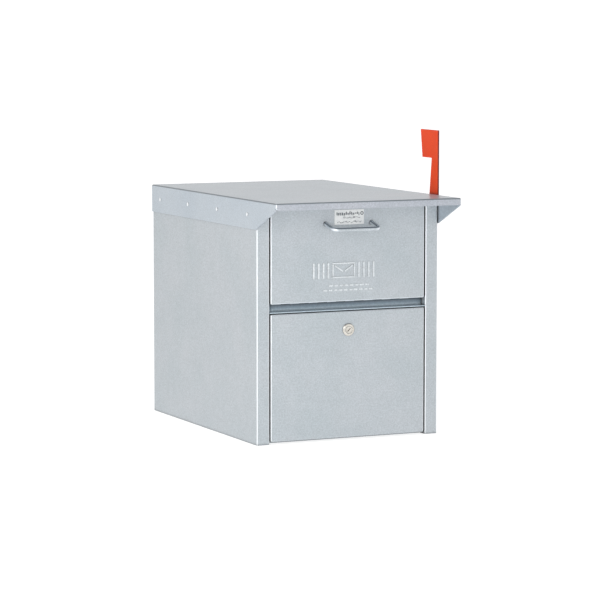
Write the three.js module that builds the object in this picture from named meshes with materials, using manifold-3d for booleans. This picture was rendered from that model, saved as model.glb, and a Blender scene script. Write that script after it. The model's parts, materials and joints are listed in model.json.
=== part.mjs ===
// A locking roadside mail chest: a folded steel cabinet with a pull-down mail door over a locked
// lower door, an overhanging hood and a red signal flag on its right side.
// Millimetres, +Z up, +Y towards the back. Inside this file y = 0 is the front face of the
// cabinet; the last group moves the origin to the centre of the underside.

import * as THREE from "three";
import { mergeVertices } from "three/addons/utils/BufferGeometryUtils.js";
import Module from "manifold-3d";

const wasm = await Module();
wasm.setup();

// ---------------------------------------------------------------- driving dimensions

const GAP = 0.3; // play between pieces that touch

const cabinet = { width: 395.4, depth: 540, sheet: 1.6, bend: 0.8 };
const HALF = cabinet.width / 2;
const SHEET = cabinet.sheet;

const hood = { top: 480, sheet: 2.0, overhang: 96, skirt: 57, lip: 14, rearLip: 14, bend: 1.2, play: 0.4 };
const ear = { nose: 11, lipCorner: 7 }; // rounding of the skirts' and the lip's front corners
const HOOD_HALF = HALF + hood.play + hood.sheet;
const HOOD_RADIUS = hood.bend + hood.sheet;
const HOOD_UNDER = hood.top - hood.sheet;

const stile = { width: 27.2, returnDepth: 22 };
const OPENING_HALF = HALF - stile.width; // half the clear width between the stiles
const PANEL_TOP = HOOD_UNDER - 0.4;

const door = { half: OPENING_HALF - 2.5, depth: 16, sheet: 1.6, radius: 2.4, corner: 2.7 };
const upper = { bottom: 275.8, top: 466 };
const lower = { bottom: 4.5, top: 256.3 };

// The mail door turns on a continuous hinge, so far behind its face that it lies on the rail when open.
const hinge = { y: 15.7, z: 276.2, pin: 1.2, bore: 1.5, outer: 2.6, half: 160, knuckles: 16, play: 0.4 };
const HINGE_LEAF = 1.1;
const pivot = { y: 8, z: lower.bottom + 8, radius: 3, hole: 3.35, ear: 8 }; // lower door's two pins

const rail = { sheet: 2.0, top: 260, wall: 18.6, height: 292 };
const KEEPER_Y = 18; // front face of the angles that the doors close against

const rivets = { count: 4, first: 40, pitch: 151, z: 451, shank: 2.3, hole: 2.65 };
const flag = { x: 201.6, y: 29, z: 446, hub: 20, thick: 3 };
const signal = { arm: 26.6, blade: 75, bladeLow: 67, notch: 552, tip: 608 };
const flagSlot = { radius: 12, pin: 1.7, half: 2.1 };
const lock = { z: 219, face: 12.5, barrel: 9.5, plug: 7, bore: 7.35, camY: 21.1, cam: 2, reach: 30 };
const handle = { half: 50, z: 430, drop: 9.5, out: 38.5, wire: 4.2, bend: 13 };

const BEND_STEPS = 4;
const ROUND = 24; // sides of an ordinary pin or hole

// ---------------------------------------------------------------- materials

const paint = (color, roughness = 0.42, metalness = 0.35) =>
  new THREE.MeshStandardMaterial({ color, roughness, metalness });
const SILVER_PAINT = paint(0xb9bfc4);
const FLAG_RED = paint(0xe2502c, 0.45, 0.0);
const CHROME = paint(0xd8d6d0, 0.2, 1.0);
const ZINC = paint(0xb4b6b8, 0.38, 0.9);
const NYLON = paint(0xe8e6de, 0.5, 0.0);
const RUBBER = paint(0x2b2c2e, 0.8, 0.0);
const BLACK_NYLON = paint(0x303234, 0.6, 0.0);
const CATCH_WHITE = paint(0xdfe0de, 0.5, 0.0);
const LABEL_WHITE = paint(0xf1f1ee, 0.55, 0.0);

// ---------------------------------------------------------------- solids from three.js geometry

function solidOf(geometry) {
  const flat = geometry.index ? geometry.toNonIndexed() : geometry;
  const bare = new THREE.BufferGeometry().setAttribute("position", flat.getAttribute("position"));
  const merged = mergeVertices(bare, 1e-4);
  const vertProperties = new Float32Array(merged.attributes.position.array);
  const triVerts = new Uint32Array(merged.index.array);
  return new wasm.Manifold(new wasm.Mesh({ numProp: 3, vertProperties, triVerts }));
}

function geometryOf(solid) {
  const { vertProperties, triVerts } = solid.getMesh();
  const geometry = new THREE.BufferGeometry();
  geometry.setAttribute("position", new THREE.BufferAttribute(vertProperties, 3));
  geometry.setIndex(new THREE.BufferAttribute(triVerts, 1));
  geometry.computeVertexNormals();
  return geometry;
}

const joined = (...solids) => solids.reduce((sum, next) => sum.add(next));
const cut = (body, ...tools) => tools.reduce((left, tool) => left.subtract(tool), body);

function box([x0, x1], [y0, y1], [z0, z1]) {
  const geometry = new THREE.BoxGeometry(x1 - x0, y1 - y0, z1 - z0);
  return solidOf(geometry.translate((x0 + x1) / 2, (y0 + y1) / 2, (z0 + z1) / 2));
}

// A round bar along axis "x", "y" or "z", through [a, b] in the other two directions.
function rod(axis, [a, b], radius, from, to, sides = ROUND) {
  const bar = new THREE.CylinderGeometry(radius, radius, to - from, sides);
  const middle = (from + to) / 2;
  if (axis === "x") return solidOf(bar.rotateZ(-Math.PI / 2).translate(middle, a, b));
  if (axis === "y") return solidOf(bar.translate(a, middle, b));
  return solidOf(bar.rotateX(Math.PI / 2).translate(a, b, middle));
}

// A turned piece: profile points are [radius, distance along the axis].
function turned(profile, axis, [a, b], sides = ROUND) {
  const points = profile.map(([r, h]) => new THREE.Vector2(r, h));
  const body = new THREE.LatheGeometry(points, sides);
  if (axis === "x") return solidOf(body.rotateZ(-Math.PI / 2).translate(0, a, b));
  if (axis === "y") return solidOf(body.translate(a, 0, b));
  return solidOf(body.rotateX(Math.PI / 2).translate(a, b, 0));
}

// Extrudes an outline drawn in plane "xy", "yz" or "xz" along the third direction.
function extruded(outline, plane, from, to) {
  const drawn = outline instanceof THREE.Shape;
  const shape = drawn ? outline : new THREE.Shape(outline.map(([u, v]) => new THREE.Vector2(u, v)));
  const body = new THREE.ExtrudeGeometry(shape, { depth: to - from, bevelEnabled: false, curveSegments: 12 });
  if (plane === "xy") return solidOf(body.translate(0, 0, from));
  if (plane === "xz") return solidOf(body.rotateX(Math.PI / 2).translate(0, to, 0));
  const turn = new THREE.Matrix4().makeBasis(
    new THREE.Vector3(0, 1, 0),
    new THREE.Vector3(0, 0, 1),
    new THREE.Vector3(1, 0, 0),
  );
  return solidOf(body.applyMatrix4(turn).translate(from, 0, 0));
}

// The outline of a folded sheet whose middle line runs through the corners given.
function folded(corners, thickness, insideRadius) {
  const middle = insideRadius + thickness / 2;
  const points = corners.map(([u, v]) => new THREE.Vector2(u, v));
  const leftNormal = (d) => new THREE.Vector2(-d.y, d.x);
  const side = (offset) => {
    const path = [];
    for (let i = 0; i < points.length; i++) {
      const into = i > 0 ? points[i].clone().sub(points[i - 1]).normalize() : null;
      const out = i < points.length - 1 ? points[i + 1].clone().sub(points[i]).normalize() : null;
      if (!into || !out) {
        path.push(points[i].clone().addScaledVector(leftNormal(into ?? out), offset));
        continue;
      }
      const turn = Math.atan2(into.cross(out), into.dot(out));
      const way = Math.sign(turn);
      const start = points[i].clone().addScaledVector(into, -middle * Math.tan(Math.abs(turn) / 2));
      const centre = start.addScaledVector(leftNormal(into), way * middle);
      for (let k = 0; k <= BEND_STEPS; k++) {
        const normal = leftNormal(into).rotateAround(new THREE.Vector2(), (turn * k) / BEND_STEPS);
        path.push(centre.clone().addScaledVector(normal, -way * (middle - way * offset)));
      }
    }
    return path;
  };
  return new THREE.Shape([...side(thickness / 2), ...side(-thickness / 2).reverse()]);
}

function roundedRectangle(x0, x1, z0, z1, radius) {
  const shape = new THREE.Shape();
  shape.absarc(x1 - radius, z0 + radius, radius, -Math.PI / 2, 0);
  shape.absarc(x1 - radius, z1 - radius, radius, 0, Math.PI / 2);
  shape.absarc(x0 + radius, z1 - radius, radius, Math.PI / 2, Math.PI);
  shape.absarc(x0 + radius, z0 + radius, radius, Math.PI, 1.5 * Math.PI);
  return shape;
}

// A rounded block whose front edges, at y = front, are rounded too.
function roundFrontBlock([x0, x1], [front, back], [z0, z1], corner, radius) {
  const body = new THREE.ExtrudeGeometry(roundedRectangle(x0, x1, z0, z1, corner), {
    depth: back - front,
    bevelThickness: radius,
    bevelSize: radius,
    bevelOffset: -radius,
    bevelSegments: BEND_STEPS,
    curveSegments: BEND_STEPS,
  });
  const block = solidOf(body.rotateX(Math.PI / 2).translate(0, back + radius, 0));
  return cut(block, box([x0 - 1, x1 + 1], [back, back + 3 * radius + 1], [z0 - 1, z1 + 1]));
}

// ---------------------------------------------------------------- the scene graph

const root = new THREE.Group();
root.position.set(0, -cabinet.depth / 2, 0);

function add(name, solid, material) {
  const mesh = new THREE.Mesh(geometryOf(solid), material);
  mesh.name = name;
  root.add(mesh);
}

const rivetPlaces = Array.from({ length: rivets.count }, (_, i) => rivets.first + i * rivets.pitch);
const throughWall = (y, z, radius, way) => {
  const [from, to] = way < 0 ? [-HOOD_HALF - 5, -HALF + 6] : [HALF - 6, HOOD_HALF + 5];
  return rod("x", [y, z], radius, from, to, 16);
};
const flagHole = throughWall(flag.y, flag.z, 3.35, 1);
const slotAngle = (-135 * Math.PI) / 180;
const stopPlace = [
  flag.y + flagSlot.radius * Math.cos(slotAngle),
  flag.z + flagSlot.radius * Math.sin(slotAngle),
];
const stopHole = throughWall(...stopPlace, 2.1, 1);

// ---------------------------------------------------------------- cabinet

function sidePanel(way) {
  const outer = HALF - SHEET / 2;
  const inner = OPENING_HALF + SHEET / 2;
  const rear = cabinet.depth - SHEET / 2;
  const section = [
    [way * inner, stile.returnDepth],
    [way * inner, SHEET / 2],
    [way * outer, SHEET / 2],
    [way * outer, rear],
    [way * (HALF - 17), rear],
  ];
  const wall = extruded(folded(section, SHEET, cabinet.bend), "xy", 0, PANEL_TOP);
  const ledge = [way * (HALF - 15), way * (HALF - SHEET / 2)].sort((a, b) => a - b);
  const topFlange = box(ledge, [30, cabinet.depth - 20], [PANEL_TOP - SHEET, PANEL_TOP]);
  const places = way < 0 ? rivetPlaces : rivetPlaces.slice(1);
  const holes = places.map((y) => throughWall(y, rivets.z, rivets.hole, way));
  const pinFrom = way * (OPENING_HALF - 5);
  const pinTo = way * (OPENING_HALF + 8);
  const pinSpan = [Math.min(pinFrom, pinTo), Math.max(pinFrom, pinTo)];
  holes.push(rod("x", [pivot.y, pivot.z], pivot.hole, ...pinSpan));
  if (way > 0) holes.push(flagHole, stopHole);
  return cut(joined(wall, topFlange), ...holes);
}

function rearPanel() {
  const y = cabinet.depth - SHEET - GAP - SHEET / 2;
  const sheet = box([-HALF + 2.1, HALF - 2.1], [y - SHEET / 2, y + SHEET / 2], [GAP, PANEL_TOP - 0.6]);
  const top = PANEL_TOP - 0.6;
  const flange = box([-HALF + 20, HALF - 20], [y - 15, y], [top - SHEET, top]);
  return joined(sheet, flange);
}

function bottomPan() {
  const floor = SHEET / 2;
  const front = 16.8 + SHEET / 2;
  const rear = cabinet.depth - 2 * SHEET - 2 * GAP - SHEET / 2;
  const side = HALF - SHEET - GAP - SHEET / 2;
  const lengthwise = [[front, 20], [front, floor], [rear, floor], [rear, 20]];
  const crosswise = [[-side, 20], [-side, floor], [side, floor], [side, 20]];
  const clear = stile.returnDepth + 3;
  const pan = joined(
    extruded(folded(lengthwise, SHEET, cabinet.bend), "yz", -OPENING_HALF + 0.6, OPENING_HALF - 0.6),
    extruded(folded(crosswise, SHEET, cabinet.bend), "xz", clear, rear - 4),
  );
  const holes = [-1, 1].flatMap((sx) =>
    [-1, 1].map((sy) => rod("z", [sx * 76, cabinet.depth / 2 + sy * 152], 5, -2, 4, 20)),
  );
  return cut(pan, ...holes);
}

function hoodShell() {
  const side = HOOD_HALF - hood.sheet / 2;
  const topLine = hood.top - hood.sheet / 2;
  const front = -hood.overhang;
  const back = cabinet.depth + hood.play + hood.sheet;
  const skirtBottom = hood.top - hood.skirt;
  const lipBottom = hood.top - hood.lip;
  const across = [[-side, skirtBottom], [-side, topLine], [side, topLine], [side, skirtBottom]];
  const along = [
    [front + hood.sheet / 2, lipBottom],
    [front + hood.sheet / 2, topLine],
    [back - hood.sheet / 2, topLine],
    [back - hood.sheet / 2, hood.top - hood.rearLip],
  ];
  const inset = HOOD_HALF - HOOD_RADIUS;
  const skirts = extruded(
    folded(across, hood.sheet, hood.bend), "xz", front + HOOD_RADIUS, back - HOOD_RADIUS,
  );
  const lips = extruded(folded(along, hood.sheet, hood.bend), "yz", -inset, inset);
  const slope = Math.atan2(skirtBottom - lipBottom, -front);
  const tangent = ear.nose * Math.tan((Math.PI / 2 + slope) / 2);
  const under = new THREE.Shape();
  under.moveTo(front - 5, skirtBottom - 5);
  under.lineTo(0, skirtBottom - 5);
  under.lineTo(0, skirtBottom);
  under.absarc(front + ear.nose, lipBottom + tangent, ear.nose, slope + 1.5 * Math.PI, Math.PI, true);
  under.lineTo(front - 5, lipBottom + tangent);
  const wedge = extruded(under, "yz", -HOOD_HALF - 5, HOOD_HALF + 5);
  const roundEnd = (way) => {
    const centre = HOOD_HALF - ear.lipCorner;
    const shape = new THREE.Shape();
    shape.absarc(centre, lipBottom + ear.lipCorner, ear.lipCorner, 0, -Math.PI / 2, true);
    shape.lineTo(centre, lipBottom - 3);
    shape.lineTo(HOOD_HALF + 3, lipBottom - 3);
    shape.lineTo(HOOD_HALF + 3, lipBottom + ear.lipCorner);
    const tool = extruded(shape, "xz", front - 3, front + HOOD_RADIUS + 0.05);
    return way > 0 ? tool : tool.mirror([1, 0, 0]);
  };
  const corner = (x, y, bottom) => {
    const profile = [[0, bottom], [HOOD_RADIUS, bottom]];
    for (let k = 0; k <= BEND_STEPS; k++) {
      const a = (k * Math.PI) / 2 / BEND_STEPS;
      const radius = k === BEND_STEPS ? 0 : HOOD_RADIUS * Math.cos(a);
      profile.push([radius, hood.top - HOOD_RADIUS + HOOD_RADIUS * Math.sin(a)]);
    }
    return turned(profile, "z", [x, y], 4 * BEND_STEPS);
  };
  const cavity = box(
    [-HOOD_HALF + hood.sheet, HOOD_HALF - hood.sheet],
    [front + hood.sheet, back - hood.sheet],
    [skirtBottom, HOOD_UNDER],
  );
  const corners = [-1, 1].flatMap((way) => [
    cut(corner(way * inset, front + HOOD_RADIUS, lipBottom), cavity),
    cut(corner(way * inset, back - HOOD_RADIUS, hood.top - hood.rearLip), cavity),
  ]);
  const holes = [-1, 1].flatMap((way) =>
    (way < 0 ? rivetPlaces : rivetPlaces.slice(1)).map((y) => throughWall(y, rivets.z, rivets.hole, way)),
  );
  const folds = cut(joined(lips, ...corners), roundEnd(-1), roundEnd(1));
  return cut(joined(cut(skirts, wedge), folds), ...holes, flagHole, stopHole);
}

function crossRail() {
  const t = rail.sheet;
  const wall = rail.wall + t / 2;
  const profile = [
    [0.2, rail.top - t / 2],
    [wall, rail.top - t / 2],
    [wall, rail.height],
    [wall + 13, rail.height - 2.5],
  ];
  return extruded(folded(profile, t, hood.bend), "yz", -OPENING_HALF + 0.5, OPENING_HALF - 0.5);
}

function keeperAngle() {
  const y = KEEPER_Y + SHEET / 2;
  const z = rail.top - rail.sheet - GAP - SHEET / 2;
  const half = OPENING_HALF - 0.6;
  return extruded(folded([[y, 236], [y, z], [y + 28, z]], SHEET, cabinet.bend), "yz", -half, half);
}

function headerAngle() {
  const y = KEEPER_Y + SHEET / 2;
  const z = PANEL_TOP - SHEET / 2;
  const half = OPENING_HALF - 0.6;
  return extruded(folded([[y, 450], [y, z], [y + 26, z]], SHEET, cabinet.bend), "yz", -half, half);
}

const chute = { start: 22.6, rear: 335, frontZ: 286.5, rearZ: 236, flange: 14, wide: 26 };

function mailChute() {
  const { start, rear, frontZ, rearZ } = chute;
  const profile = [[start, frontZ - 15], [start, frontZ], [rear, rearZ], [rear, rearZ - 18]];
  const half = HALF - SHEET - 0.8;
  const floor = extruded(folded(profile, SHEET, cabinet.bend), "yz", -half, half);
  const slope = (rearZ - frontZ) / (rear - start);
  const surface = (y) => frontZ + slope * (y - start);
  const low = chute.wide + 1;
  const high = rear - 4;
  const strip = [
    [low, surface(low)],
    [high, surface(high)],
    [high, surface(high) + chute.flange],
    [low, surface(low) + chute.flange],
  ];
  const flanges = [extruded(strip, "yz", -half, -half + SHEET), extruded(strip, "yz", half - SHEET, half)];
  const tongue = OPENING_HALF - 5;
  const notches = [
    box([-half - 1, -tongue], [0, chute.wide], [200, 320]),
    box([tongue, half + 1], [0, chute.wide], [200, 320]),
  ];
  return cut(joined(floor, ...flanges), ...notches);
}

function addCabinet() {
  add("left_side_panel", sidePanel(-1), SILVER_PAINT);
  add("right_side_panel", sidePanel(1), SILVER_PAINT);
  add("rear_panel", rearPanel(), SILVER_PAINT);
  add("bottom_pan", bottomPan(), SILVER_PAINT);
  add("hood", hoodShell(), SILVER_PAINT);
  add("cross_rail", crossRail(), SILVER_PAINT);
  add("keeper_angle", keeperAngle(), SILVER_PAINT);
  add("header_angle", headerAngle(), SILVER_PAINT);
  add("mail_chute", mailChute(), SILVER_PAINT);
}

// ---------------------------------------------------------------- rivets through the hood's skirts

function skirtRivet(y, way) {
  const outside = HOOD_HALF + GAP;
  const inside = HALF - SHEET - GAP;
  const profile = [
    [0, inside - 3],
    [2.6, inside - 3],
    [3.4, inside - 1.6],
    [3.4, inside],
    [rivets.shank, inside],
    [rivets.shank, outside],
    [4.1, outside],
    [3.6, outside + 0.6],
    [2.2, outside + 1.0],
    [0, outside + 1.15],
  ];
  const body = turned(profile, "x", [y, rivets.z], 16);
  return way > 0 ? body : body.mirror([1, 0, 0]);
}

function addRivets() {
  rivetPlaces.forEach((y, i) => add(`left_rivet_${i + 1}`, skirtRivet(y, -1), SILVER_PAINT));
  rivetPlaces.slice(1).forEach((y, i) => add(`right_rivet_${i + 1}`, skirtRivet(y, 1), SILVER_PAINT));
}

// ---------------------------------------------------------------- doors

function doorPan({ bottom, top }) {
  const t = door.sheet;
  const outer = roundFrontBlock(
    [-door.half, door.half],
    [0, door.depth],
    [bottom, top],
    door.corner,
    door.radius,
  );
  const inner = roundFrontBlock(
    [-door.half + t, door.half - t],
    [t, door.depth + 4],
    [bottom + t, top - t],
    door.corner - t,
    door.radius - t,
  );
  return cut(outer, inner);
}

function mailDoor() {
  const behindHinge = hinge.y - hinge.outer - hinge.play;
  const trimSpan = [upper.bottom - 1, upper.bottom + 4];
  const bottomTrim = box([-door.half + 4, door.half - 4], [behindHinge, door.depth + 1], trimSpan);
  const screws = [-1, 1].map((way) => rod("y", [way * handle.half, handle.z], 2, -1, 3, 16));
  return cut(doorPan(upper), bottomTrim, ...screws);
}

// The lower door's flanges are cut back round its pins, so that they clear the pan as it drops.
function lowerDoor() {
  const flangeEnd = 10.5;
  const { y, z, ear } = pivot;
  const wide = door.half + 1;
  const trimSpan = [lower.bottom - 1, lower.bottom + 3];
  const bottomTrim = box([-door.half + 2, door.half - 2], [flangeEnd, door.depth + 1], trimSpan);
  const square = box([-wide, wide], [y, door.depth + 1], [lower.bottom - 1, z]);
  const round = rod("x", [y, z], ear, -wide - 1, wide + 1, 32);
  const pinHoles = rod("x", [y, z], pivot.hole, -wide, wide);
  const lockHole = rod("y", [0, lock.z], lock.barrel + 0.4, -1, 3, 32);
  const ears = cut(square, round, box([-wide + 4, wide - 4], [0, 20], [lower.bottom - 2, z + 1]));
  return cut(doorPan(lower), bottomTrim, ears, pinHoles, lockHole);
}

// One leaf of the continuous hinge: a plate and every second knuckle.
function hingeLeaf(plate, firstKnuckle) {
  const pitch = (2 * hinge.half) / hinge.knuckles;
  const clear = hinge.outer + hinge.play;
  let leaf = plate;
  for (let i = 0; i < hinge.knuckles; i++) {
    const from = -hinge.half + i * pitch;
    const mine = i % 2 === firstKnuckle;
    const span = mine ? [from + 0.2, from + pitch - 0.2] : [from - 0.2, from + pitch + 0.2];
    const drum = rod("x", [hinge.y, hinge.z], mine ? hinge.outer : clear, ...span, 16);
    leaf = mine ? leaf.add(drum) : leaf.subtract(drum);
  }
  return leaf.subtract(rod("x", [hinge.y, hinge.z], hinge.bore, -hinge.half - 1, hinge.half + 1, 16));
}

function doorLeaf() {
  const top = hinge.z + hinge.outer;
  return hingeLeaf(box([-hinge.half, hinge.half], [3.2, hinge.y], [top - HINGE_LEAF, top]), 0);
}

function frameLeaf() {
  const back = hinge.y + hinge.outer;
  return hingeLeaf(box([-hinge.half, hinge.half], [back - HINGE_LEAF, back], [262.5, hinge.z]), 1);
}

const hingePin = () => rod("x", [hinge.y, hinge.z], hinge.pin, -hinge.half - 1.5, hinge.half + 1.5, 12);

function pivotPin(way) {
  const flangeInside = door.half - door.sheet - GAP;
  const returnOutside = OPENING_HALF + SHEET + GAP;
  const profile = [
    [0, flangeInside - 2.6],
    [3.6, flangeInside - 2.6],
    [4.6, flangeInside - 1.4],
    [4.6, flangeInside],
    [pivot.radius, flangeInside],
    [pivot.radius, returnOutside],
    [5, returnOutside],
    [5, returnOutside + 1.8],
    [0, returnOutside + 1.8],
  ];
  const body = turned(profile, "x", [pivot.y, pivot.z]);
  return way > 0 ? body : body.mirror([1, 0, 0]);
}

function pivotWasher(way) {
  const from = way > 0 ? door.half + GAP : -OPENING_HALF + GAP;
  const to = way > 0 ? OPENING_HALF - GAP : -door.half - GAP;
  const place = [pivot.y, pivot.z];
  return cut(rod("x", place, 6.5, from, to), rod("x", place, pivot.hole, from - 1, to + 1));
}

function pullHandle() {
  const { half, z, drop, out, wire, bend } = handle;
  const foot = (way) => new THREE.Vector3(way * half, -GAP, z);
  const knee = (way) => new THREE.Vector3(way * half, -out, z - drop);
  const towards = (a, b, distance) => a.clone().lerp(b, distance / a.distanceTo(b));
  const path = new THREE.CurvePath();
  const legEnd = [-1, 1].map((way) => towards(knee(way), foot(way), bend));
  const barEnd = [towards(knee(-1), knee(1), bend), towards(knee(1), knee(-1), bend)];
  path.add(new THREE.LineCurve3(foot(-1), legEnd[0]));
  path.add(new THREE.QuadraticBezierCurve3(legEnd[0], knee(-1), barEnd[0]));
  path.add(new THREE.LineCurve3(barEnd[0], barEnd[1]));
  path.add(new THREE.QuadraticBezierCurve3(barEnd[1], knee(1), legEnd[1]));
  path.add(new THREE.LineCurve3(legEnd[1], foot(1)));
  const section = new THREE.Shape().absarc(0, 0, wire, 0, 2 * Math.PI);
  const bar = new THREE.ExtrudeGeometry(section, { steps: 48, extrudePath: path, curveSegments: 6 });
  const bores = [-1, 1].map((way) => rod("y", [way * half, z], 2, -5.5, 1, 12));
  const flush = box([-half - 8, half + 8], [-GAP, 5], [z - 9, z + 9]);
  return cut(solidOf(bar), flush, ...bores);
}

function handleScrew(way) {
  const profile = [[0, -5], [1.7, -5], [1.7, 1.9], [4.5, 1.9], [4.5, 3.6], [3, 4.6], [0, 4.6]];
  return turned(profile, "y", [way * handle.half, handle.z], 16);
}

function strikeBracket() {
  const profile = [[2.5, 418], [2.5, 434], [15.7, 434], [15.7, 449.5]];
  return extruded(folded(profile, 1.2, 0.6), "yz", -16, 16);
}

function addDoors() {
  add("upper_door", mailDoor(), SILVER_PAINT);
  add("hinge_leaf_door", doorLeaf(), SILVER_PAINT);
  add("hinge_leaf_frame", frameLeaf(), SILVER_PAINT);
  add("hinge_pin", hingePin(), ZINC);
  add("pull_handle", pullHandle(), SILVER_PAINT);
  add("handle_screw_left", handleScrew(-1), ZINC);
  add("handle_screw_right", handleScrew(1), ZINC);
  add("strike_bracket", strikeBracket(), ZINC);
  add("label", box([-31, 33.5], [-2 * GAP, -GAP], [427.3, 456.8]), LABEL_WHITE);
  add("lower_door", lowerDoor(), SILVER_PAINT);
  for (const [side, way] of [["left", -1], ["right", 1]]) {
    add(`pivot_pin_${side}`, pivotPin(way), ZINC);
    add(`pivot_washer_${side}`, pivotWasher(way), BLACK_NYLON);
  }
}

// ---------------------------------------------------------------- magnetic catch and bumpers

function addCatch() {
  const pocket = box([-14.3, 14.3], [18, 24], [436.7, 447.3]);
  const body = box([-23, 23], [KEEPER_Y + SHEET + GAP, 32], [433, 462]);
  add("catch_body", cut(body, pocket), CATCH_WHITE);
  add("catch_magnet", box([-14, 14], [door.depth + 2 * GAP, 23.7], [437, 447]), RUBBER);
  const bumperSpan = [door.depth + GAP, KEEPER_Y - GAP];
  for (const [side, way] of [["left", -1], ["right", 1]]) {
    add(`upper_bumper_${side}`, rod("y", [way * 130, 464], 5, ...bumperSpan, 20), RUBBER);
    add(`lower_bumper_${side}`, rod("y", [way * 130, 251.5], 5, ...bumperSpan, 20), RUBBER);
  }
}

// ---------------------------------------------------------------- cam lock

const camPoint = (distance, across) => [-distance, lock.z + across];

function lockBody() {
  const back = 20.5;
  const profile = [
    [lock.bore, -3],
    [lock.face - 1.2, -3],
    [lock.face, -1.9],
    [lock.face, -GAP],
    [lock.barrel, -GAP],
    [lock.barrel, back],
    [lock.bore, back],
    [lock.bore, -3],
  ];
  return turned(profile, "y", [0, lock.z], 32);
}

function lockNut() {
  const hexagon = rod("y", [0, lock.z], 14, 1.9, 6.4, 6);
  return cut(hexagon, rod("y", [0, lock.z], lock.barrel + GAP, 1, 8, 32));
}

function lockPlug() {
  const drum = rod("y", [0, lock.z], lock.plug, -3.3, 20.8, 32);
  const square = box([-4, 4], [20, 24.6], [lock.z - 4, lock.z + 4]);
  const keyway = solidOf(
    new THREE.BoxGeometry(1.6, 7, 8.4).rotateY(Math.PI / 4).translate(0, -1.5, lock.z),
  );
  return cut(joined(drum, square), keyway, rod("y", [0, lock.z], 2, 16, 26, 12));
}

function lockCam() {
  const shape = new THREE.Shape();
  shape.absarc(...camPoint(0, 0), 9, -Math.PI / 2, Math.PI / 2);
  shape.lineTo(...camPoint(lock.reach - 2, 7));
  shape.lineTo(...camPoint(lock.reach, 5));
  shape.lineTo(...camPoint(lock.reach, -5));
  shape.lineTo(...camPoint(lock.reach - 2, -7));
  const plate = extruded(shape, "xz", lock.camY, lock.camY + lock.cam);
  return cut(plate, box([-4.3, 4.3], [20, 26], [lock.z - 4.3, lock.z + 4.3]));
}

function camScrew() {
  const profile = [[0, 17], [1.7, 17], [1.7, 24.9], [6, 24.9], [6, 26.6], [4.6, 28], [0, 28]];
  return turned(profile, "y", [0, lock.z], 16);
}

function addLock() {
  add("lock_body", lockBody(), CHROME);
  add("lock_nut", lockNut(), ZINC);
  add("lock_plug", lockPlug(), CHROME);
  add("lock_cam", lockCam(), ZINC);
  add("cam_screw", camScrew(), ZINC);
}

// ---------------------------------------------------------------- signal flag

function signalFlag() {
  const { y, z, hub } = flag;
  const { arm, blade, bladeLow, notch, tip } = signal;
  const front = y - hub;
  const shape = new THREE.Shape();
  shape.absarc(y, z, hub, Math.PI, 2 * Math.PI);
  shape.lineTo(front + arm, notch);
  shape.lineTo(front + bladeLow, notch);
  shape.lineTo(front + blade, tip);
  shape.lineTo(front, tip);
  const plate = extruded(shape, "yz", flag.x, flag.x + flag.thick);
  const { radius, half } = flagSlot;
  const slot = new THREE.Shape();
  const ends = [slotAngle, slotAngle + Math.PI / 2];
  const end = (a) => [y + radius * Math.cos(a), z + radius * Math.sin(a)];
  slot.absarc(y, z, radius + half, ...ends);
  slot.absarc(...end(ends[1]), half, ends[1], ends[1] + Math.PI);
  slot.absarc(y, z, radius - half, ends[1], ends[0], true);
  slot.absarc(...end(ends[0]), half, ends[0] + Math.PI, ends[0] + 2 * Math.PI);
  const slotTool = extruded(slot, "yz", flag.x - 2, flag.x + flag.thick + 2);
  return cut(plate, slotTool, rod("x", [y, z], 4.35, flag.x - 2, flag.x + flag.thick + 2));
}

function flagBolt() {
  const shoulder = flag.x - 0.1;
  const head = flag.x + flag.thick + GAP;
  const profile = [
    [0, 187.5],
    [2.6, 187.5],
    [3, 188],
    [3, shoulder],
    [4, shoulder],
    [4, head],
    [7, head],
    [7, head + 2],
    [5.6, head + 3],
    [0, head + 3.2],
  ];
  return turned(profile, "x", [flag.y, flag.z]);
}

function flagStop() {
  const inside = HALF - SHEET - GAP;
  const collar = HOOD_HALF + GAP;
  const profile = [
    [0, inside - 1.6],
    [3.2, inside - 1.6],
    [3.2, inside],
    [flagSlot.pin, inside],
    [flagSlot.pin, collar],
    [2.9, collar],
    [2.9, collar + 0.7],
    [flagSlot.pin, collar + 0.7],
    [flagSlot.pin, flag.x + flag.thick - 0.2],
    [0, flag.x + flag.thick - 0.2],
  ];
  return turned(profile, "x", stopPlace, 16);
}

function addFlag() {
  const place = [flag.y, flag.z];
  const ring = (radius, from, to, sides) =>
    cut(rod("x", place, radius, from, to, sides), rod("x", place, 3.35, from - 1, to + 1));
  const inside = HALF - SHEET - GAP;
  add("signal_flag", signalFlag(), FLAG_RED);
  add("flag_bolt", flagBolt(), ZINC);
  add("flag_washer", ring(8, HOOD_HALF + GAP, flag.x - GAP, ROUND), NYLON);
  add("flag_nut", ring(6.2, inside - 5, inside, 6), ZINC);
  add("flag_stop_pin", flagStop(), ZINC);
}

addCabinet();
addRivets();
addDoors();
addCatch();
addLock();
addFlag();

export default root;
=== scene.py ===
import json
import math

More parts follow.
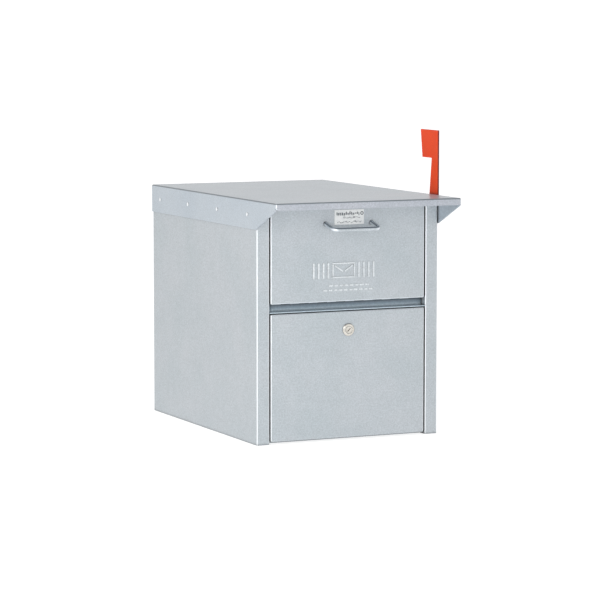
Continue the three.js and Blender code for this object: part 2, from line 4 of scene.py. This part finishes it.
import bmesh
import bpy
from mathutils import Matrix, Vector

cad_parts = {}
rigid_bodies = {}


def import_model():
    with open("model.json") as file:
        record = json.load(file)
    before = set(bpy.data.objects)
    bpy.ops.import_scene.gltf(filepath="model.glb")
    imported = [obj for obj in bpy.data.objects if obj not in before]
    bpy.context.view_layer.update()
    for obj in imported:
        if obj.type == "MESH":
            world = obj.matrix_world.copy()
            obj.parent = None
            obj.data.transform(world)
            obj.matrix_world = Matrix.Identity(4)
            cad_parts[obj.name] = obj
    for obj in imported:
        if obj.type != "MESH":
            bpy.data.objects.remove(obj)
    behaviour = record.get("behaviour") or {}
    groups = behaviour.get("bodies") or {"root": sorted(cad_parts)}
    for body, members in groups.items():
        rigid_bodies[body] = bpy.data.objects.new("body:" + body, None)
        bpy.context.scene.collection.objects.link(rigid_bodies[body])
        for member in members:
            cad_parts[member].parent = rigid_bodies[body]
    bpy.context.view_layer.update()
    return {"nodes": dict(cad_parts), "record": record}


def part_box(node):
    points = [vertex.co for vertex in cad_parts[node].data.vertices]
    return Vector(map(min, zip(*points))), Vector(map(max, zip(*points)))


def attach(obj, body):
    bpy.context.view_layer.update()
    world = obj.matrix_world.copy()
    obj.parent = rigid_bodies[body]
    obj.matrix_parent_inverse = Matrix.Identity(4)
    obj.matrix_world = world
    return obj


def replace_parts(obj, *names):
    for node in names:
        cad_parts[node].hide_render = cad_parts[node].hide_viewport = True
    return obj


for leftover in list(bpy.data.objects):
    bpy.data.objects.remove(leftover)

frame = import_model()
scene = bpy.context.scene
scene.view_settings.view_transform = "Standard"

# ---------------------------------------------------------------- camera

CAMERA_PLACE = (-2.4311, -5.3182, 0.8670)
CAMERA_DOWN = 5.903  # degrees below level
CAMERA_TURN = -24.637  # degrees from straight ahead
CAMERA_LENS = 174.218
SENSOR_WIDTH = 36
FAR_CLIP = 9000

camera = bpy.data.objects.new("camera", bpy.data.cameras.new("camera"))
scene.collection.objects.link(camera)
camera.location = CAMERA_PLACE
camera.rotation_euler = (math.radians(90 - CAMERA_DOWN), 0, math.radians(CAMERA_TURN))
camera.data.sensor_width = SENSOR_WIDTH
camera.data.lens = CAMERA_LENS
camera.data.clip_end = FAR_CLIP
scene.camera = camera

# ---------------------------------------------------------------- node trees


class Nodes:
    """A node tree with short calls for adding and linking nodes."""

    def __init__(self, owner):
        self.tree = owner.node_tree
        self.tree.nodes.clear()

    def add(self, kind, inputs=None, **settings):
        """A node, with each input linked when it is given a socket and set when it is given a value."""
        node = self.tree.nodes.new(kind)
        for key, value in settings.items():
            setattr(node, key, value)
        for key, value in (inputs or {}).items():
            if isinstance(value, bpy.types.NodeSocket):
                self.tree.links.new(value, node.inputs[key])
            else:
                node.inputs[key].default_value = value
        return node

    def maths(self, operation, a, b=0.0, clamp=False):
        node = self.add("ShaderNodeMath", {0: a, 1: b}, operation=operation, use_clamp=clamp)
        return node.outputs[0]

    def span(self, value, start, end, low=0.0, high=1.0):
        """The value carried over from the range start to end, to the range low to high."""
        return self.add("ShaderNodeMapRange", {
            "Value": value, "From Min": start, "From Max": end, "To Min": low, "To Max": high,
        }).outputs[0]

    def within(self, value, start, end):
        """1 between start and end, and 0 outside."""
        above = self.maths("GREATER_THAN", value, start)
        below = self.maths("LESS_THAN", value, end)
        return self.maths("MULTIPLY", above, below)

    def ramp(self, value, stops):
        node = self.add("ShaderNodeValToRGB", {"Fac": value})
        ramp = node.color_ramp
        while len(ramp.elements) < len(stops):
            ramp.elements.new(0.5)
        for element, (position, colour) in zip(ramp.elements, stops):
            element.position = position
            element.color = (*colour, 1)
        return node.outputs["Color"]

    def mix(self, factor, a, b, blend="MIX"):
        a, b = ((*c, 1) if isinstance(c, tuple) else c for c in (a, b))
        node = self.add("ShaderNodeMix", {0: factor, 6: a, 7: b}, data_type="RGBA", blend_type=blend)
        return node.outputs[2]

    def multiply(self, colour, other):
        return self.mix(1.0, colour, other, "MULTIPLY")

    def noise(self, coords, scale, detail=2.0, roughness=0.5):
        return self.add("ShaderNodeTexNoise", {
            "Vector": coords, "Scale": scale, "Detail": detail, "Roughness": roughness,
        }).outputs["Fac"]

    def axes(self, vector):
        return self.add("ShaderNodeSeparateXYZ", {0: vector}).outputs

    def surface(self, height, strength, distance, inputs):
        """The tree's shader: a bump over a surface with these inputs."""
        bump = self.add("ShaderNodeBump", {"Height": height, "Strength": strength, "Distance": distance})
        shader = self.add("ShaderNodeBsdfPrincipled", {**inputs, "Normal": bump.outputs[0]})
        self.add("ShaderNodeOutputMaterial", {"Surface": shader.outputs[0]})


def new_material(name):
    """A node material with its tree and its object coordinates, in metres."""
    material = bpy.data.materials.new(name)
    material.use_nodes = True
    nodes = Nodes(material)
    return material, nodes, nodes.add("ShaderNodeTexCoord").outputs


def srgb(r, g, b):
    """A linear colour from 8-bit sRGB values."""
    return tuple(((c / 255 + 0.055) / 1.055) ** 2.4 if c > 10 else c / 255 / 12.92 for c in (r, g, b))


def grey(value):
    return (value,) * 3


# ---------------------------------------------------------------- materials

# Noise scales, in cells per metre.
MOTTLE, CLOUD, FLECK, FLAKE, ORANGE_PEEL = 9.0, 60.0, 330.0, 1100.0, 620.0
# How far the ambient occlusion looks for the painted shade in gaps, in metres.
GAP_SHADE_REACH = 0.012

# Painted shade on a recessed face: colour factors from its lit floor, through its middle, to its top in the
# shade under the upper door.
RECESS_SHADE_FLOOR, RECESS_SHADE_MIDDLE, RECESS_SHADE_TOP = (0.9, 1.0, 1.06), (0.48, 0.58, 0.66), (0.05, 0.07, 0.09)


def coated_paint(name, base, tint, rough=0.42, metallic=0.25, specular=0.5, coat=0.35, polish=0.16,
                 peel=0.3, speckle=0.09, gap_shade=0.05,
                 front=None, bend_highlight=None, under=None, dark_reflection=None, edge=None, recess_shade=None):
    """Powder coat: mottling, fine flake and orange peel, with a painted shade that darkens the gaps.

    front is a painted shade that tints and darkens the faces that face forward. bend_highlight is
    the colour of a painted highlight on upright bends, under of a painted highlight on bends that
    turn down, and dark_reflection, with the turn where it starts and ends, of a painted dark
    reflection on bends that turn up. edge is the colour of the cut edges round a plate that faces X.
    recess_shade is the two heights between which the painted shade of a recessed face goes from
    light to dark. gap_shade is the factor the colour falls to in the painted shade of the closest gaps.
    """
    material, n, where = new_material(name)
    coords = where["Object"]
    cloud = n.noise(coords, CLOUD, 4.0, 0.6)
    darker, lighter = grey(1 - 1.2 * speckle), grey(1 + speckle)
    colour = n.ramp(n.noise(coords, MOTTLE, 3.0, 0.55), [(0.35, base), (0.65, tint)])
    colour = n.multiply(colour, n.ramp(n.noise(coords, FLAKE, 1.0), [(0.36, darker), (0.64, lighter)]))
    colour = n.multiply(colour, n.ramp(n.noise(coords, FLECK, 2.0, 0.6), [(0.34, darker), (0.66, lighter)]))
    colour = n.multiply(colour, n.ramp(cloud, [(0.3, grey(0.945)), (0.7, grey(1.0))]))

    normal = n.axes(where["Normal"])
    across = n.maths("ABSOLUTE", normal[0])
    along = n.maths("ABSOLUTE", normal[1])
    turn = n.maths("MULTIPLY", normal[2], n.maths("MAXIMUM", across, along))
    # Painted shade on the faces that face forward.
    if front:
        colour = n.mix(n.span(along, 0.75, 0.95), colour, n.multiply(colour, front))
    # Painted highlight on upright bends.
    if bend_highlight:
        colour = n.mix(n.span(n.maths("MULTIPLY", across, along), 0.1, 0.42), colour, bend_highlight)
    # Painted highlight on bends that turn down.
    if under:
        colour = n.mix(n.span(turn, -0.15, -0.45), colour, under)
    # Painted dark reflection on bends that turn up.
    if dark_reflection:
        reflection_colour, start, end = dark_reflection
        colour = n.mix(n.span(turn, start, end), colour, reflection_colour)
    if edge:
        colour = n.mix(n.span(across, 0.7, 0.2), colour, edge)
    # Painted shade on a recessed face, light at its floor and dark at its top.
    if recess_shade:
        shades = [(0.0, RECESS_SHADE_FLOOR), (0.35, RECESS_SHADE_MIDDLE), (1.0, RECESS_SHADE_TOP)]
        colour = n.multiply(colour, n.ramp(n.span(n.axes(coords)[2], *recess_shade), shades))

    # Painted shade in gaps and corners: darker where ambient occlusion finds other surfaces close by.
    openness = n.add("ShaderNodeAmbientOcclusion", {"Distance": GAP_SHADE_REACH}, samples=8).outputs["AO"]
    colour = n.multiply(colour, n.span(openness, 0.3, 0.74, gap_shade, 1.0))
    n.surface(n.noise(coords, ORANGE_PEEL, 2.0, 0.45), peel, 0.0002, {
        "Base Color": colour,
        "Roughness": n.span(cloud, 0.0, 1.0, rough - 0.05, rough + 0.05),
        "Metallic": metallic,
        "Specular IOR Level": specular,
        "Coat Weight": coat,
        "Coat Roughness": polish,
    })
    return material


def plated_metal(name, base, dull, rough, stretch):
    """Plated metal: fine polishing marks, stretched along one axis, over a faint cloudy tarnish."""
    material, n, where = new_material(name)
    coords = where["Object"]
    drawn_out = n.add("ShaderNodeMapping", {"Vector": coords, "Scale": stretch}).outputs[0]
    marks = n.noise(drawn_out, 1.0, 3.0, 0.6)
    n.surface(marks, 0.08, 0.0001, {
        "Base Color": n.ramp(n.noise(coords, 160.0, 3.0, 0.6), [(0.3, dull), (0.7, base)]),
        "Roughness": n.span(marks, 0.0, 1.0, rough - 0.06, rough + 0.08),
        "Metallic": 1.0,
    })
    return material


def moulded(name, base, shade, rough, grain=700.0, bumpiness=0.25):
    """Moulded plastic or rubber: a fine matt grain and a little uneven colour."""
    material, n, where = new_material(name)
    coords = where["Object"]
    texture = n.noise(coords, grain)
    n.surface(texture, bumpiness, 0.0002, {
        "Base Color": n.ramp(n.noise(coords, 80.0, 3.0), [(0.3, shade), (0.7, base)]),
        "Roughness": n.span(texture, 0.0, 1.0, rough - 0.06, rough + 0.06),
    })
    return material


# Each printed row: its bottom and top, its left and right, the dashes it has and the share inked.
LABEL_ROWS = (
    (0.64, 0.80, 0.07, 0.84, 16.0, 0.72),
    (0.43, 0.51, 0.30, 0.88, 24.0, 0.62),
    (0.14, 0.22, 0.10, 0.92, 20.0, 0.66),
)
RING_ACROSS, RING_UP, RING_INNER, RING_OUTER = 0.93, 0.74, 0.06, 0.12
ROW_WAVE = 0.34


def printed_label(name, low, high):
    """Pale film with three wavy rows of dashes and a small ring, in shares of the label's size."""
    material, n, where = new_material(name)
    coords = where["Object"]
    place = n.axes(coords)
    across = n.span(place[0], low.x, high.x)
    upward = n.span(place[2], low.z, high.z)

    uneven = n.maths("SUBTRACT", n.noise(coords, 190.0, 1.0), 0.5)
    wavy = n.maths("ADD", upward, n.maths("MULTIPLY", uneven, ROW_WAVE))
    ink = 0.0
    for bottom, top, left, right, dashes, share in LABEL_ROWS:
        inked = n.maths("LESS_THAN", n.maths("FRACT", n.maths("MULTIPLY", across, dashes)), share)
        block = n.maths("MULTIPLY", n.within(wavy, bottom, top), n.within(across, left, right))
        ink = n.maths("MAXIMUM", ink, n.maths("MULTIPLY", block, inked))
    ink = n.maths("MULTIPLY", ink, n.maths("ADD", n.noise(coords, 700.0), 0.4), clamp=True)

    aspect = (high.x - low.x) / (high.z - low.z)
    sideways = n.maths("POWER", n.maths("MULTIPLY", n.maths("SUBTRACT", across, RING_ACROSS), aspect), 2.0)
    vertical = n.maths("POWER", n.maths("SUBTRACT", upward, RING_UP), 2.0)
    reach = n.maths("SQRT", n.maths("ADD", sideways, vertical))
    ink = n.maths("MAXIMUM", ink, n.within(reach, RING_INNER, RING_OUTER))

    paper = n.ramp(n.noise(coords, 120.0, 3.0), [(0.3, srgb(206, 208, 209)), (0.7, srgb(224, 225, 224))])
    n.surface(n.noise(coords, 260.0), 0.1, 0.0002, {
        "Base Color": n.mix(ink, paper, srgb(70, 78, 84)),
        "Roughness": 0.42,
    })
    return material


STEEL = {"base": srgb(174, 182, 187), "tint": srgb(180, 186, 191)}
# The heights over which the painted shade on the recessed face between the doors goes from light to dark.
RECESS = (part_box("hinge_leaf_frame")[0].z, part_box("upper_door")[0].z - 0.001)

# Silver paint with painted highlights on upright bends and on bends that turn down.
SILVER = coated_paint("silver_powder_coat", **STEEL, bend_highlight=srgb(227, 231, 234), under=srgb(216, 224, 230))
# The hood's copy of the silver paint: its base set for the light on its top, a painted shade on its forward
# faces, softer painted highlights on upright bends and a painted dark reflection along its top edges.
HOOD = coated_paint("silver_powder_coat_hood", srgb(175, 185, 194), srgb(181, 190, 198), polish=0.14,
                    peel=0.2, front=(0.94, 0.89, 0.89), bend_highlight=srgb(204, 211, 216),
                    dark_reflection=(srgb(120, 128, 134), 0.15, 0.42))
# Hinge leaf paint: painted shade on the recessed face between the doors, and a weak painted shade in gaps.
LEAF = coated_paint("silver_powder_coat_recess", **STEEL, recess_shade=RECESS, gap_shade=0.9)
# Bottom pan paint: a weaker painted shade in gaps.
PAN = coated_paint("silver_powder_coat_pan", **STEEL, gap_shade=0.7)
# Cross rail paint: a lighter base, painted shade on the recessed face and a weaker painted shade in gaps.
RAIL = coated_paint("silver_powder_coat_rail", srgb(190, 197, 202), srgb(184, 191, 196), rough=0.4,
                    recess_shade=RECESS, gap_shade=0.6)
# Wire pull paint: painted highlights on its bends and a painted dark reflection along its top.
PULL = coated_paint("silver_powder_coat_wire", srgb(190, 197, 202), srgb(182, 190, 195), rough=0.3,
                    metallic=0.4, coat=0.5, bend_highlight=srgb(228, 233, 238),
                    dark_reflection=(srgb(108, 116, 124), 0.28, 0.47))
# A lighter copy of the silver paint for the raised art: a painted highlight on the strokes.
RAISED_LIT = coated_paint("silver_powder_coat_raised_lit", srgb(212, 217, 220), srgb(200, 206, 210), rough=0.4,
                      metallic=0.2)
# A lighter, glossier copy of the silver paint for the rivets: painted glints on their heads.
RIVET_GLINT = coated_paint("silver_powder_coat_rivet_glint", srgb(240, 243, 245), srgb(230, 234, 237), rough=0.3,
                     metallic=0.2, coat=0.5)
RED = coated_paint("flag_red_enamel", srgb(236, 64, 2), srgb(243, 74, 10), rough=0.5, metallic=0.0,
                   specular=0.2, coat=0.0, peel=0.12, speckle=0.03, edge=srgb(112, 26, 22))
ZINC = plated_metal("zinc_plate", srgb(196, 198, 200), srgb(170, 173, 176), 0.34, (900, 900, 40))
NICKEL = plated_metal("nickel_plate", srgb(222, 219, 212), srgb(196, 192, 184), 0.2, (900, 40, 900))
BLACK_NYLON = moulded("black_nylon", srgb(44, 45, 47), srgb(36, 37, 39), 0.6)
NYLON = moulded("white_nylon", srgb(226, 224, 215), srgb(212, 210, 200), 0.5)
RUBBER = moulded("black_rubber", srgb(38, 38, 40), srgb(30, 30, 32), 0.75, grain=900.0, bumpiness=0.4)
FERRITE = moulded("ferrite", srgb(52, 52, 55), srgb(40, 40, 43), 0.55, grain=1200.0, bumpiness=0.3)
LABEL = printed_label("label_film", *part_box("label"))

BY_SLOT = {
    "black_nylon": BLACK_NYLON, "black_rubber": RUBBER, "catch_magnet": FERRITE, "chrome_lock": NICKEL,
    "flag_red": RED, "label_film": LABEL, "silver_paint": SILVER, "white_nylon": NYLON, "zinc_steel": ZINC,
}
BY_NODE = {"hood": HOOD, "hinge_leaf_frame": LEAF, "bottom_pan": PAN, "cross_rail": RAIL}

# ---------------------------------------------------------------- CAD nodes: softer edges and materials

WELD_GAP = 2e-6
EDGE_ROUND = 0.0003
FLAT_ANGLE, BEVEL_ANGLE, SHARP_ANGLE = math.radians(0.5), math.radians(50), math.radians(34)


def smooth_group():
    """A modifier tree that shades a surface smooth except across its real edges."""
    tree = bpy.data.node_groups.new("weld_and_smooth", "GeometryNodeTree")
    tree.interface.new_socket("Geometry", in_out="INPUT", socket_type="NodeSocketGeometry")
    tree.interface.new_socket("Geometry", in_out="OUTPUT", socket_type="NodeSocketGeometry")
    start = tree.nodes.new("NodeGroupInput")
    end = tree.nodes.new("NodeGroupOutput")
    faces = tree.nodes.new("GeometryNodeSetShadeSmooth")
    edges = tree.nodes.new("GeometryNodeSetShadeSmooth")
    edges.domain = "EDGE"
    edges.inputs["Shade Smooth"].default_value = False
    angle = tree.nodes.new("GeometryNodeInputMeshEdgeAngle")
    sharp = tree.nodes.new("FunctionNodeCompare")
    sharp.operation = "GREATER_THAN"
    sharp.inputs[1].default_value = SHARP_ANGLE
    tree.links.new(start.outputs[0], faces.inputs["Geometry"])
    tree.links.new(faces.outputs[0], edges.inputs["Geometry"])
    tree.links.new(angle.outputs["Unsigned Angle"], sharp.inputs[0])
    tree.links.new(sharp.outputs[0], edges.inputs["Selection"])
    tree.links.new(edges.outputs[0], end.inputs[0])
    return tree


def weight_normals(obj, keep_sharp):
    normals = obj.modifiers.new("normals", "WEIGHTED_NORMAL")
    normals.keep_sharp = keep_sharp
    normals.weight = 100


def refine(obj, smooth_tree):
    """Welded faces, slightly rounded edges and clean shading, all by modifiers."""
    weld = obj.modifiers.new("weld", "WELD")
    weld.merge_threshold = WELD_GAP
    flatten = obj.modifiers.new("flatten", "DECIMATE")
    flatten.decimate_type = "DISSOLVE"
    flatten.angle_limit = FLAT_ANGLE
    edge = obj.modifiers.new("edge", "BEVEL")
    edge.width = EDGE_ROUND
    edge.segments = 2
    edge.limit_method = "ANGLE"
    edge.angle_limit = BEVEL_ANGLE
    edge.use_clamp_overlap = True
    smooth = obj.modifiers.new("smooth", "NODES")
    smooth.node_group = smooth_tree
    weight_normals(obj, True)


def node_material(name, slot):
    if "rivet" in name:
        return RIVET_GLINT
    return BY_NODE.get(name, BY_SLOT[slot])


def finish_nodes():
    slots = {part["node"]: part["material_slot"] for part in frame["record"]["subparts"]}
    smooth_tree = smooth_group()
    for name, obj in frame["nodes"].items():
        file_normals = obj.data.attributes.get("custom_normal")
        if file_normals:
            obj.data.attributes.remove(file_normals)
        obj.data.materials.clear()
        obj.data.materials.append(node_material(name, slots[name]))
        refine(obj, smooth_tree)


finish_nodes()

# ---------------------------------------------------------------- pieces added to the mail door


def door_piece(name, mesh, material):
    """A painted piece that rides on the mail door."""
    obj = bpy.data.objects.new(name, mesh)
    scene.collection.objects.link(obj)
    mesh.materials.append(material)
    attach(obj, "mail_door")
    return obj


DOOR_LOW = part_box("upper_door")[0]
ART_X, ART_Z = -0.0104, DOOR_LOW.z + 0.0617
ART_TALL = 0.031
ENVELOPE_WIDE, ENVELOPE_LINE = 0.050, 0.0034
BAR_COUNT, BAR_START, BAR_PITCH, BAR_WIDE = 4, 0.0335, 0.0106, 0.0042
DASH_TALL, DASH_GAP = 0.0036, 0.0012
# Each row of dashes: how far below the envelope's middle, its left and right, and its dashes.
DASH_ROWS = ((0.030, -0.044, 0.046, 8), (0.039, -0.056, 0.054, 10))
SUNK = 0.0001  # how far raised art starts behind the door's face


def strip(a, b, width):
    """The four corners, in x and z, of a straight strip from a to b."""
    start, end = Vector(a), Vector(b)
    along = (end - start).normalized()
    side = Vector((-along.y, along.x)) * width / 2
    return [start - side, end - side, end + side, start + side]


def envelope_strips():
    """The envelope's frame and the two strokes of its flap."""
    left, right = ART_X - ENVELOPE_WIDE / 2, ART_X + ENVELOPE_WIDE / 2
    low, high = ART_Z - ART_TALL / 2, ART_Z + ART_TALL / 2
    line, half = ENVELOPE_LINE, ENVELOPE_LINE / 2
    flap_z, flap_tip = high - line * 1.6, ART_Z - ART_TALL * 0.08
    return [
        strip((left, low + half), (right, low + half), line),
        strip((left, high - half), (right, high - half), line),
        strip((left + half, low + line), (left + half, high - line), line),
        strip((right - half, low + line), (right - half, high - line), line),
        strip((left + line * 1.3, flap_z), (ART_X - line * 0.45, flap_tip), line * 0.9),
        strip((ART_X + line * 0.45, flap_tip), (right - line * 1.3, flap_z), line * 0.9),
    ]


def bar_strips():
    """Upright bars on both sides of the envelope."""
    bars = []
    for way in (-1, 1):
        for i in range(BAR_COUNT):
            x = ART_X + way * (BAR_START + BAR_PITCH * i)
            bars.append(strip((x, ART_Z - ART_TALL / 2), (x, ART_Z + ART_TALL / 2), BAR_WIDE))
    return bars


def dash_strips():
    """Two rows of dashes under the envelope, a little uneven in length."""
    dashes = []
    for drop, left, right, count in DASH_ROWS:
        pitch = (right - left) / count
        for i in range(count):
            start = left + i * pitch + DASH_GAP + 0.0008 * (i * 7 % 3)
            end = left + (i + 1) * pitch - DASH_GAP
            dashes.append(strip((start, ART_Z - drop), (end, ART_Z - drop), DASH_TALL))
    return dashes


def raised_art(name, outlines, height, corner):
    """Soft-edged raised shapes on the door's face, each an outline in x and z."""
    face_y = DOOR_LOW.y
    shape = bmesh.new()
    for outline in outlines:
        face = shape.faces.new([shape.verts.new((x, face_y + SUNK, z)) for x, z in outline])
        face.normal_update()
        if face.normal.y > 0:
            face.normal_flip()
        made = bmesh.ops.extrude_face_region(shape, geom=[face])
        top = [part for part in made["geom"] if isinstance(part, bmesh.types.BMVert)]
        bmesh.ops.translate(shape, verts=top, vec=(0, -height - SUNK, 0))
    bmesh.ops.recalc_face_normals(shape, faces=shape.faces)
    posts = [e for e in shape.edges if abs(e.verts[0].co.y - e.verts[1].co.y) > height / 2]
    bmesh.ops.bevel(shape, geom=posts, offset=corner, segments=3, profile=0.5, affect="EDGES")
    crown = [e for e in shape.edges if all(v.co.y < face_y - height * 0.9 for v in e.verts)
             and len(e.link_faces) == 2 and e.calc_face_angle(0) > 0.5]
    bmesh.ops.bevel(shape, geom=crown, offset=height * 0.6, segments=3, profile=0.5, affect="EDGES")
    mesh = bpy.data.meshes.new(name)
    shape.to_mesh(mesh)
    shape.free()
    for polygon in mesh.polygons:
        polygon.use_smooth = True
    weight_normals(door_piece(name, mesh, RAISED_LIT), False)


raised_art("raised_envelope", envelope_strips(), 0.0012, 0.0008)
raised_art("raised_bars", bar_strips(), 0.0012, 0.0012)
raised_art("raised_dashes", dash_strips(), 0.0006, 0.0008)

WIRE_RADIUS, WIRE_BEND = 0.0042, 0.013
WIRE_SIDES, BEND_STEPS = 28, 12
FOOT_SWELL = 1.12


def wire_line(low, high):
    """The wire's centre line: out from one foot, along the bar and back to the other foot."""
    feet = [sum(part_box(screw), Vector()) / 2 for screw in ("handle_screw_left", "handle_screw_right")]
    front, bar_z = low.y + WIRE_RADIUS, low.z + WIRE_RADIUS
    roots = [Vector((foot.x, high.y, foot.z)) for foot in feet]
    corners = [Vector((foot.x, front, bar_z)) for foot in feet]
    line = [roots[0], roots[0].lerp(corners[0], 0.04)]
    for corner, before, after in ((corners[0], roots[0], corners[1]), (corners[1], corners[0], roots[1])):
        a = corner + (before - corner).normalized() * WIRE_BEND
        b = corner + (after - corner).normalized() * WIRE_BEND
        for step in range(BEND_STEPS + 1):
            t = step / BEND_STEPS
            line.append(a * (1 - t) ** 2 + corner * 2 * t * (1 - t) + b * t ** 2)
    return line + [roots[1].lerp(corners[1], 0.04), roots[1]]


def wire_pull():
    """The pull as a swept round wire with smooth bends, on the same line as the CAD piece."""
    low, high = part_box("pull_handle")
    line = wire_line(low, high)
    last = len(line) - 1
    angles = [2 * math.pi * k / WIRE_SIDES for k in range(WIRE_SIDES)]
    shape = bmesh.new()
    rings = []
    for i, point in enumerate(line):
        along = (line[min(i + 1, last)] - line[max(i - 1, 0)]).normalized()
        out = along.cross(Vector((0, 0, 1))).normalized()
        up = out.cross(along)
        radius = WIRE_RADIUS * (FOOT_SWELL if i in (0, last) else 1.0)
        spokes = [radius * (out * math.cos(angle) + up * math.sin(angle)) for angle in angles]
        rings.append([shape.verts.new(point + spoke) for spoke in spokes])
    for one, two in zip(rings, rings[1:]):
        for k in range(WIRE_SIDES):
            following = (k + 1) % WIRE_SIDES
            shape.faces.new((one[k], one[following], two[following], two[k]))
    shape.faces.new(rings[0][::-1])
    shape.faces.new(rings[-1])
    for vert in rings[0] + rings[-1]:
        vert.co.y = high.y
    bmesh.ops.recalc_face_normals(shape, faces=shape.faces)
    mesh = bpy.data.meshes.new("wire_pull")
    shape.to_mesh(mesh)
    shape.free()
    for polygon in mesh.polygons:
        polygon.use_smooth = len(polygon.vertices) == 4
    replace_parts(door_piece("wire_pull", mesh, PULL), "pull_handle")


wire_pull()

# ---------------------------------------------------------------- stage

FLOOR_REACH = 3000
FLOOR_DROP = 0.0005
FLOOR_GLOW = 0.8


def pale_floor():
    """A plain pale floor that reaches the horizon."""
    mesh = bpy.data.meshes.new("floor")
    corners = [(x * FLOOR_REACH, y * FLOOR_REACH, 0) for x, y in ((-1, -1), (1, -1), (1, 1), (-1, 1))]
    mesh.from_pydata(corners, [], [(0, 1, 2, 3)])
    floor = bpy.data.objects.new("floor", mesh)
    scene.collection.objects.link(floor)
    floor.location = (0, 0, -FLOOR_DROP)
    material, n, where = new_material("pale_floor")
    grit = n.noise(where["Object"], 3.0, 3.0)
    shader = n.add("ShaderNodeBsdfPrincipled", {
        "Base Color": n.ramp(grit, [(0.3, grey(0.49)), (0.7, grey(0.51))]),
        "Roughness": 0.9,
        "Emission Color": (1, 1, 1, 1),
        "Emission Strength": FLOOR_GLOW,
    })
    n.add("ShaderNodeOutputMaterial", {"Surface": shader.outputs[0]})
    mesh.materials.append(material)


def studio_sky():
    """White at the horizon, and a mid grey overhead."""
    world = bpy.data.worlds.new("studio")
    scene.world = world
    world.use_nodes = True
    w = Nodes(world)
    upward = w.axes(w.add("ShaderNodeTexCoord").outputs["Generated"])[2]
    sky = w.ramp(upward, [(0.12, grey(1)), (0.5, grey(0.5))])
    background = w.add("ShaderNodeBackground", {"Color": sky, "Strength": 1.0})
    w.add("ShaderNodeOutputWorld", {"Surface": background.outputs[0]})


def softbox(name, location, size, power, aim):
    lamp = bpy.data.lights.new(name, "AREA")
    lamp.shape = "RECTANGLE"
    lamp.size, lamp.size_y = size
    lamp.energy = power
    obj = bpy.data.objects.new(name, lamp)
    scene.collection.objects.link(obj)
    obj.location = location
    obj.rotation_euler = (Vector(aim) - Vector(location)).to_track_quat("-Z", "Y").to_euler()


pale_floor()
studio_sky()
softbox("key", (-1.15, -1.3, 1.0), (0.6, 0.8), 3.6, aim=(-0.2, -0.27, 0.25))
softbox("fill", (-1.2, -2.3, 0.25), (1.0, 0.4), 16, aim=(0.02, -0.27, 0.4))
softbox("top", (-0.5, 0.0, 2.6), (1.6, 1.6), 9, aim=(0, 0, 0.45))
